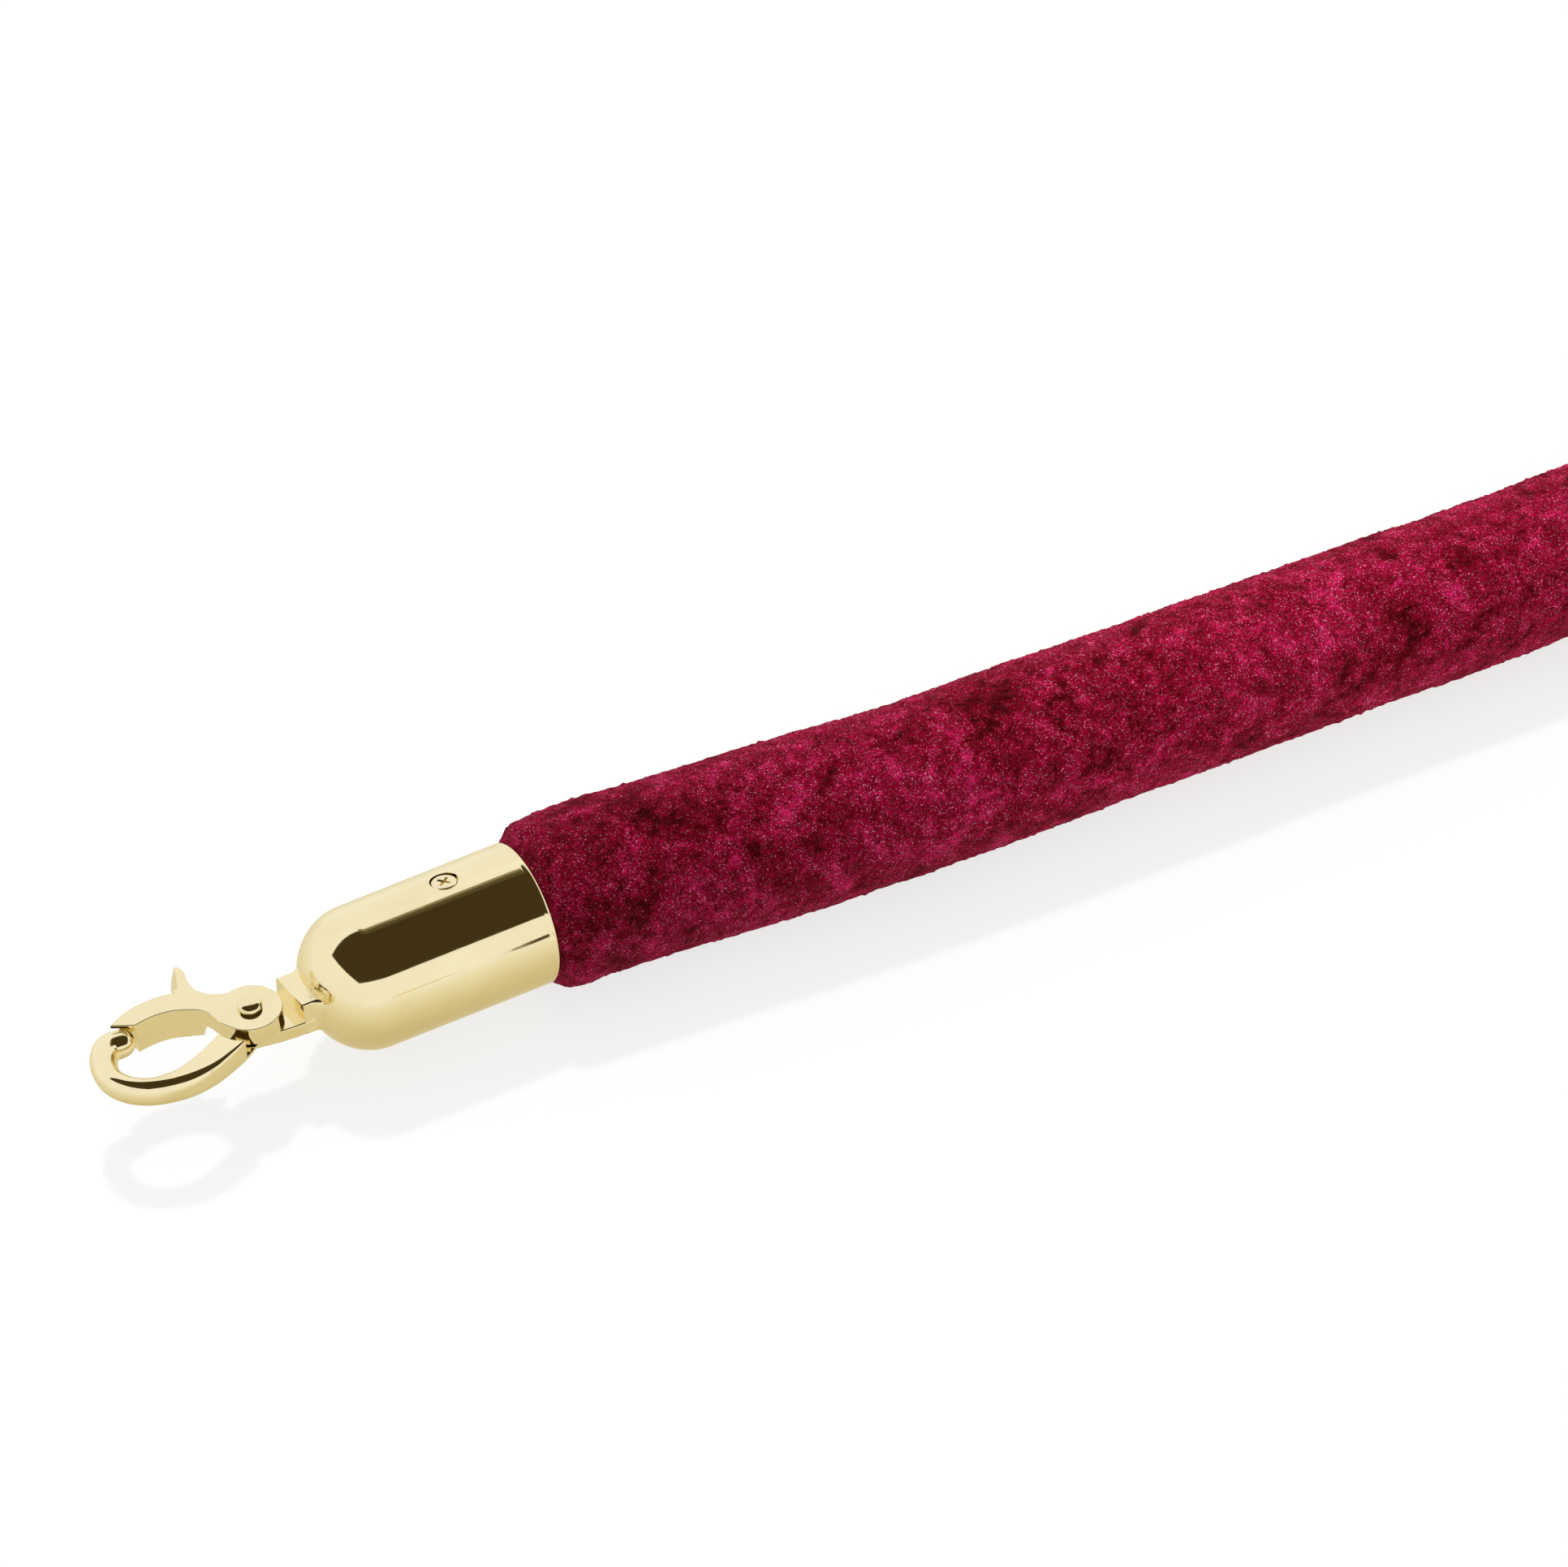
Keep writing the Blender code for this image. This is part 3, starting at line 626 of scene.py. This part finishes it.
def casting(name):
    """Cap, block, shank plate and bow in one piece, with a bore for each of the two screws."""
    half = HALF_HEIGHT
    outline = [(11.6, 5.4), *arc(6.2, 62, 215, 64)]
    near_side = [outline[-1], (-2.9, -3.9), (-0.5, -4.1), (3.0, -4.75), (6.5, -5.15), (11.6, -5.4)]
    outline += curve_xy(near_side)[1:]
    shank = slab("shank", outline, -half, SPLIT_Z - GAP / 2, edge=0.3)
    recess = slab("recess", arc(9.2, 90, 270, 64), SPLIT_Z - GAP / 2, half + 1)
    front = cube("recess_front", (-0.1, -12, SPLIT_Z - GAP / 2), (BLOCK_FRONT_X, 12, half + 1))
    bow = combine(hook_ring(), [recess, front], "DIFFERENCE")
    body = combine(cap_shell(), [block(), shank, bow], "UNION")
    cutters = []
    for side in (SCREW_TURN_DEG, SCREW_TURN_DEG + 180):
        r = COUNTERBORE_RADIUS
        bore = turned("bore", [(0, 17), (r, 17), (r, 13.0), (1.5, 13.0), (1.5, 10), (0, 10)], 64)
        turn = Matrix.Rotation(math.radians(side), 4, "X")
        bore.data.transform(turn @ Matrix.Translation((SCREW_X * MM, 0.0, 0.0)))
        cutters.append(bore)
    combine(body, cutters, "DIFFERENCE")
    body.name = name
    return polish(body)


# ---- the gate ----
def gate(name):
    """The gate: a disc round the rivet, a thumb tab, and the arm. Below a thin lip, the
    arm's slanted end is hollowed to clear the round nose of the bow."""
    half = HALF_HEIGHT
    tip_outer, tip_inner = (-25.3, 9.3), (-21.2, 6.9)
    back = [(-22.9, 10.7), (-20.0, 11.7), (-17.1, 12.05), (-14.0, 11.95), (-10.9, 11.3)]
    outer_edge = curve_xy([tip_outer, *back])
    tab = curve_xy(
        [
            (-10.9, 11.3),
            (-10.5, 14.2),
            (-9.7, 16.8),
            (-8.6, 18.0),
            (-7.5, 17.6),
            (-7.0, 15.9),
            (-7.4, 12.9),
            (-7.1, 10.2),
            (-5.9, 8.3),
            (-4.3, 6.95),
            (-2.3, 6.05),
        ]
    )
    disc = arc(DISC_RADIUS, 108, -140, 90)
    hollow_side = [(-5.9, -2.4), (-6.7, -1.0), (-7.1, 0.8), (-7.7, 2.7), (-9.0, 4.5), (-11.2, 5.85)]
    throat = curve_xy([disc[-1], *hollow_side])
    inner_edge = curve_xy([(-11.2, 5.85), (-13.6, 6.9), (-16.3, 7.35), (-19.0, 7.25), tip_inner])
    outline = [*outer_edge[:-1], *tab[:-1], *disc[:-1], *throat[:-1], *inner_edge]
    body = slab("gate_top", outline, SPLIT_Z + GAP / 2, half, edge=0.62)
    start = arc(9.5, 116, 150, 12)
    arm_outline = [*outer_edge[:-1], (-10.9, 11.15), (-7.6, 9.9), *start, *inner_edge[6:]]
    arm = slab("gate_arm", arm_outline, -half, SPLIT_Z + 1.0, edge=0.25)
    around_nose = arc(3.4, -110, 75, 40, centre=(-24.5, 7.3))
    hollow = slab("hollow", [*around_nose, (-23.62, 13), (-31, 13), (-31, 2)], -half - 1, 2.95)
    facet = slab("facet", [(-3.5, -0.7), (-0.7, -0.7), (0.95, 4.2), (-3.5, 4.2)], -5.0, 3.0)
    lean = Matrix.Rotation(math.radians(-18), 4, "Z") @ Matrix.Rotation(math.radians(90), 4, "X")
    facet.data.transform(Matrix.Translation((-0.0098, 0.015, 0.0)) @ lean)
    combine(body, [arm], "UNION")
    combine(body, [hollow, facet], "DIFFERENCE")
    body.name = name
    return polish(body)


def rivet(name):
    """The gate's axle: a flattened round head above and a small clenched tail below."""
    top = HALF_HEIGHT + 0.02
    head = [(0.0, top + 1.7)]
    fullness = 2.8  # over 2, the head is flatter on top than an ellipse
    for i in range(1, 33):
        a = math.pi / 2 * (1 - i / 32)
        share, rise = math.cos(a) ** (2 / fullness), max(0.0, math.sin(a)) ** (2 / fullness)
        head.append((RIVET_HEAD_RADIUS * share, top + 0.2 + 1.5 * rise))
    low = -HALF_HEIGHT - 0.4
    profile = head + [
        (RIVET_HEAD_RADIUS, top),
        (1.5, top),
        (1.5, low),
        (2.3, low),
        (2.2, low - 0.35),
        (1.9, low - 0.6),
        (1.3, low - 0.72),
        (0.0, low - 0.76),
    ]
    return polish(turned(name, profile, 64), 50)


def screw(name, side_deg):
    """A cross-head screw in the cap's wall, turned this far round from the hook's face."""
    top = 14.75
    profile = [(0.0, top)]
    profile += [(1.9, top), (2.3, top - 0.06), (2.55, top - 0.2), (2.65, top - 0.45), (2.65, 13.3)]
    profile += [(1.2, 13.3), (1.2, 7.6), (0.0, 6.4)]
    body = turned("screw", profile, 64)
    bars = []
    for turn in (38, 128):
        bar = cube("bar", (-1.45, -0.3, top - 0.9), (1.45, 0.3, top + 1))
        bar.data.transform(Matrix.Rotation(math.radians(turn), 4, "Z"))
        bars.append(bar)
    combine(body, bars, "DIFFERENCE")
    turn = Matrix.Rotation(math.radians(side_deg), 4, "X")
    body.data.transform(turn @ Matrix.Translation((SCREW_X * MM, 0.0, 0.0)))
    body.name = name
    return polish(body)


def place(obj, letter, body, node, slot, finish):
    """Moves a piece to its end of the rope, gives it its finish, hangs it on its body and hides the CAD part
    that it stands in for.
    """
    obj.data.transform(Matrix.Translation(PIVOTS[letter]))
    obj.data.materials.clear()
    obj.data.materials.append(finish)
    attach(obj, body)
    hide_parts(node)
    return obj


def build_end(letter, finishes):
    """All the pieces of one end, with the hidden ones kept as the CAD made them."""
    made = [
        place(
            casting(f"hook_cap_{letter}"),
            letter,
            "root",
            f"end_cap_{letter}",
            "cast_gold",
            finishes[f"cast_{letter}"],
        ),
        place(
            gate(f"gate_{letter}_fine"),
            letter,
            f"gate_{letter}",
            f"gate_lever_{letter}",
            "gate_gold",
            finishes["gold"],
        ),
        place(
            rivet(f"rivet_{letter}"),
            letter,
            "root",
            f"gate_rivet_{letter}",
            "rivet_gold",
            finishes["gold"],
        ),
    ]
    for where, side in (("top", SCREW_TURN_DEG), ("bottom", SCREW_TURN_DEG + 180)):
        node = f"cap_screw_{where}_{letter}"
        head = screw(f"screw_{where}_{letter}", side)
        made.append(place(head, letter, "root", node, "screw_gold", finishes["screw"]))
    for node, finish in (("gate_spring", "steel"), ("core_plug", "timber"), ("sleeve_binding", "thread")):
        kept = frame["nodes"][f"{node}_{letter}"]
        kept.data.materials.clear()
        kept.data.materials.append(finishes[finish])
        made.append(kept)
    return made


# ---- the rope ----
def end_point(pivot, x):
    return pivot + Vector((x * MM, 0.0, 0.0))


def rope_line(first_x, step):
    """Points along the rope's axis from inside one cap to inside the other, evenly spaced."""
    route = [PIVOT_A + Vector((x, y, 0.0)) for x, y in ROUTE]
    knots = [end_point(PIVOT_A, STRAIGHT_X), *route, end_point(PIVOT_B, STRAIGHT_X)]
    line = [
        *[end_point(PIVOT_A, first_x + (STRAIGHT_X - first_x) * i / 8) for i in range(8)],
        *smooth_points(knots, 24),
        *[
            end_point(PIVOT_B, STRAIGHT_X + (first_x - STRAIGHT_X) * (i + 1) / 8)
            for i in range(8)
        ],
    ]
    points = np.array(line)
    lengths = np.concatenate([[0.0], np.cumsum(np.linalg.norm(np.diff(points, axis=0), axis=1))])
    count = int(lengths[-1] / step) + 1
    at = np.linspace(0.0, lengths[-1], count)
    even = np.stack([np.interp(at, lengths, points[:, k]) for k in range(3)], axis=1)
    # a light smoothing takes out the corners of the interpolation
    for _ in range(6):
        even[1:-1] = (even[:-2] + 2 * even[1:-1] + even[2:]) / 4
    return even, at


def random_folds(rng, count, bands):
    """Folds round the rope, each as a phase, how many times it repeats, and a height."""
    return [
        (rng.uniform(0, 2 * math.pi), rng.integers(*bands), rng.uniform(0.4, 1.0))
        for _ in range(count)
    ]


def rope_radius(x_in):
    """The sleeve's radius, in millimetres, at a distance x_in from a cap's mouth."""
    knots_x = [-6.0, -1.0, 0.15, 0.9, 2.2, 4.5, 8.0, 14.0, 22.0]
    knots_r = [12.0, 12.1, 13.3, 14.9, 16.5, 17.6, 18.0, 18.05, 18.0]
    return np.interp(x_in, knots_x, knots_r)


def velvet(name, finish):
    """The sleeve's mesh, with its centreline and length between the two mouths."""
    step = 0.00095
    around = 128
    line, at = rope_line(SLEEVE_END_X, step)
    total = at[-1]
    mouth = (MOUTH_X - SLEEVE_END_X) * MM
    theta = 2 * math.pi * np.arange(around) / around
    ways = np.gradient(line, axis=0)
    ways /= np.linalg.norm(ways, axis=1)[:, None]
    side = np.stack([ways[:, 1], -ways[:, 0], np.zeros(len(line))], axis=1)
    up = np.array([0.0, 0.0, 1.0])
    rng = np.random.default_rng(7)
    from_mouth = np.minimum(at, total - at) / MM - (MOUTH_X - SLEEVE_END_X)
    radius = rope_radius(from_mouth)[:, None] * np.ones(around)[None, :]
    out = side[:, None, :] * np.cos(theta)[None, :, None] + up * np.sin(theta)[None, :, None]
    surface = line[:, None, :] + out * (radius * MM)[:, :, None]
    # lumps of the stuffing, rumples of the cloth and tufts of the pile, each smaller than the last
    lumps = np.zeros_like(radius)
    flat = surface.reshape(-1, 3)
    for size, height in ((0.034, 0.45), (0.0125, 0.24), (0.0042, 0.15)):
        values = np.fromiter(
            (noise.noise(Vector(p) / size) for p in flat), float, len(flat)
        ).reshape(radius.shape)
        lumps += height * values
    lumps += 0.13 * rng.standard_normal(radius.shape)
    # gathers where the cloth is drawn into the cap
    near = np.exp(-np.clip(from_mouth - 0.8, 0, None) / 6.5) * (from_mouth > 0.5)
    folds = np.zeros_like(radius)
    for phase, count, height in random_folds(rng, 7, (9, 27)):
        folds += height * np.sin(count * theta + phase)[None, :]
    lumps += 0.16 * near[:, None] * folds
    # the sleeve's seam runs along the underside at the back
    seam = np.angle(np.exp(1j * (theta - math.radians(245)))) * ROPE_RADIUS
    lumps -= 0.7 * np.exp(-((seam / 0.9) ** 2))[None, :]
    calm = np.clip((from_mouth - 0.2) / 1.5, 0.0, 1.0)[:, None]
    radius = radius + lumps * calm
    # round the half turn the padding comes close to the cloth, so the dents are shallower
    turning = line[:, 0] > PIVOT_A.x + TURN_START
    radius[turning] = np.maximum(radius[turning], TURN_LEAST_RADIUS)
    surface = line[:, None, :] + out * (radius * MM)[:, :, None]
    flat = surface.reshape(-1, 3)
    flat[:, 2] = np.maximum(flat[:, 2], 0.00025 + 0.0001 * rng.random(len(flat)))
    rows = len(line)
    first = np.arange(rows - 1)[:, None] * around + np.arange(around)[None, :]
    second = np.arange(rows - 1)[:, None] * around + (np.arange(around)[None, :] + 1) % around
    quads = np.stack([first, first + around, second + around, second], axis=2).reshape(-1, 4)
    mesh = bpy.data.meshes.new(name)
    mesh.vertices.add(len(flat))
    mesh.vertices.foreach_set("co", flat.astype(np.float32).ravel())
    mesh.loops.add(quads.size)
    mesh.loops.foreach_set("vertex_index", quads.astype(np.int32).ravel())
    mesh.polygons.add(len(quads))
    mesh.polygons.foreach_set("loop_start", np.arange(0, quads.size, 4, dtype=np.int32))
    mesh.update(calc_edges=True)
    mesh.validate()
    mesh.shade_smooth()
    obj = bpy.data.objects.new(name, mesh)
    bpy.context.scene.collection.objects.link(obj)
    obj.data.materials.append(finish)
    inside = (at > mouth) & (at < total - mouth)
    path = [tuple(p) for p in line[inside][::12]]
    length = float(np.linalg.norm(np.diff(line[inside], axis=0), axis=1).sum())
    return obj, path, length


# ---- floor and light ----
def emitter(name, corners, colour, strength):
    """A flat glowing card that only shows in reflections."""
    mesh = bpy.data.meshes.new(name)
    mesh.from_pydata([tuple(c) for c in corners], [], [tuple(range(len(corners)))])
    obj = bpy.data.objects.new(name, mesh)
    bpy.context.scene.collection.objects.link(obj)
    finish = bpy.data.materials.new(name)
    finish.use_nodes = True
    finish.node_tree.nodes.clear()
    glow = finish.node_tree.nodes.new("ShaderNodeEmission")
    glow.inputs["Color"].default_value = (*colour, 1.0)
    glow.inputs["Strength"].default_value = strength
    out = finish.node_tree.nodes.new("ShaderNodeOutputMaterial")
    finish.node_tree.links.new(glow.outputs["Emission"], out.inputs["Surface"])
    mesh.materials.append(finish)
    obj.visible_camera = False
    obj.visible_diffuse = False
    obj.visible_shadow = False
    obj.visible_transmission = False
    obj.visible_volume_scatter = False
    return obj


def make_floor():
    """White paper that glows just short of white, so that only the sun's shadow shows."""
    half = 6.0 / MM
    corners = [(-half, -half, 0), (half, -half, 0), (half, half, 0), (-half, half, 0)]
    floor = mesh_object("floor", corners, [(0, 1, 2, 3)])
    finish = bpy.data.materials.new("floor_paper")
    finish.use_nodes = True
    tree = finish.node_tree
    tree.nodes.clear()
    paper = tree.nodes.new("ShaderNodeBsdfDiffuse")
    paper.inputs["Color"].default_value = (0.18, 0.18, 0.18, 1.0)
    glow = tree.nodes.new("ShaderNodeEmission")
    glow.inputs["Color"].default_value = (1.0, 1.0, 1.0, 1.0)
    glow.inputs["Strength"].default_value = 0.755
    both = tree.nodes.new("ShaderNodeAddShader")
    out = tree.nodes.new("ShaderNodeOutputMaterial")
    tree.links.new(paper.outputs["BSDF"], both.inputs[0])
    tree.links.new(glow.outputs["Emission"], both.inputs[1])
    tree.links.new(both.outputs["Shader"], out.inputs["Surface"])
    floor.data.materials.append(finish)
    floor.visible_glossy = False


def make_light():
    """The surroundings, the cards that the metal mirrors, and the sun."""
    world = bpy.data.worlds.new("studio")
    world.use_nodes = True
    tree = world.node_tree
    # white walls above; below the horizon, the dimmer and warmer light that metal shows
    place_in = tree.nodes.new("ShaderNodeTexCoord")
    parts = tree.nodes.new("ShaderNodeSeparateXYZ")
    tree.links.new(place_in.outputs["Generated"], parts.inputs["Vector"])
    span = tree.nodes.new("ShaderNodeMapRange")
    span.inputs["From Min"].default_value = -1.0
    span.inputs["From Max"].default_value = 1.0
    tree.links.new(parts.outputs["Z"], span.inputs["Value"])
    tone = tree.nodes.new("ShaderNodeValToRGB")
    bar = tone.color_ramp
    stops = [
        (0.0, (0.66, 0.58, 0.37)),
        (0.15, (0.76, 0.69, 0.48)),
        (0.36, (0.90, 0.87, 0.74)),
        (0.50, (1.0, 1.0, 1.0)),
    ]
    while len(bar.elements) < len(stops):
        bar.elements.new(0.5)
    for element, (position, colour) in zip(bar.elements, stops):
        element.position = position
        element.color = (*colour, 1.0)
    tree.links.new(span.outputs["Result"], tone.inputs["Fac"])
    tree.links.new(tone.outputs["Color"], tree.nodes["Background"].inputs["Color"])
    tree.nodes["Background"].inputs["Strength"].default_value = 1.0
    bpy.context.scene.world = world
    # a dark ceiling card: it is what the polished metal shows as a dark band
    high = 1.1
    back = [(-1.33, 0.67), (0.157, 0.50), (0.36, 0.40), (1.5, 0.30)]
    corners = [*back, (1.5, -1.75), (0.64, -1.62), (-1.26, -1.33)]
    place_at = [PIVOT_A + Vector((x * high, y * high, high)) for x, y in corners]
    emitter("ceiling_card", place_at, (0.056, 0.038, 0.012), 1.0)
    # and the lit edge of that card
    edge = [*back[1:], *[(x, y + 0.09) for x, y in reversed(back[1:])]]
    place_at = [PIVOT_A + Vector((x * high, y * high, high)) for x, y in edge]
    emitter("card_edge", place_at, (0.30, 0.25, 0.14), 1.0)
    # just under the card, a strip that the back wall lights a little
    fold = [*back[1:], *[(x, y - 0.13) for x, y in reversed(back[1:])]]
    place_at = [PIVOT_A + Vector((x * high, y * high, high - 0.002)) for x, y in fold]
    emitter("card_fold", place_at, (0.100, 0.082, 0.040), 1.0)
    key = bpy.data.lights.new("key", "SUN")
    key.energy = 1.8
    key.angle = math.radians(5)
    lamp = bpy.data.objects.new("key", key)
    lamp.rotation_mode = "QUATERNION"
    lamp.rotation_quaternion = Vector((0.21, 0.54, 1.0)).to_track_quat("Z", "Y")
    lamp.visible_glossy = False
    bpy.context.scene.collection.objects.link(lamp)
    bpy.context.scene.view_settings.view_transform = "Standard"
    bpy.context.scene.view_settings.look = "None"


# ---- put together: the camera and the rope first ----
make_camera()
sleeve, path, length = velvet("velvet_rope", velvet_shader())
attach(sleeve, "root")
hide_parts("velvet_sleeve")

finishes = {
    "gold": gold_shader("polished_gold", GOLD_ROUGHNESS),
    "cast_a": gold_shader("cast_gold_a", GOLD_ROUGHNESS, PIVOT_A + SCUFF),
    "cast_b": gold_shader("cast_gold_b", GOLD_ROUGHNESS, PIVOT_B + SCUFF),
    "screw": gold_shader("screw_gold", 0.12),
    "steel": steel_shader(),
    "timber": timber_shader(),
    "thread": plain_fibre("waxed_thread", (0.60, 0.55, 0.44), (0.88, 0.85, 0.76), 3000),
}
build_end("a", finishes)
far_pieces = build_end("b", finishes)

foam, cord = frame["nodes"]["core_padding"], frame["nodes"]["core_cord"]
# the polished metal mirrors a plain studio, as the floor is left out of reflections too
for obj in (sleeve, foam, cord, bpy.data.objects["hook_cap_b"]):
    obj.visible_glossy = False
foam.data.materials.clear()
foam.data.materials.append(plain_fibre("padding_foam", (0.66, 0.64, 0.56), (0.84, 0.83, 0.78), 900))
cord.data.materials.clear()
cord.data.materials.append(plain_fibre("core_cord", (0.52, 0.47, 0.37), (0.76, 0.72, 0.62), 1400))

make_floor()
make_light()
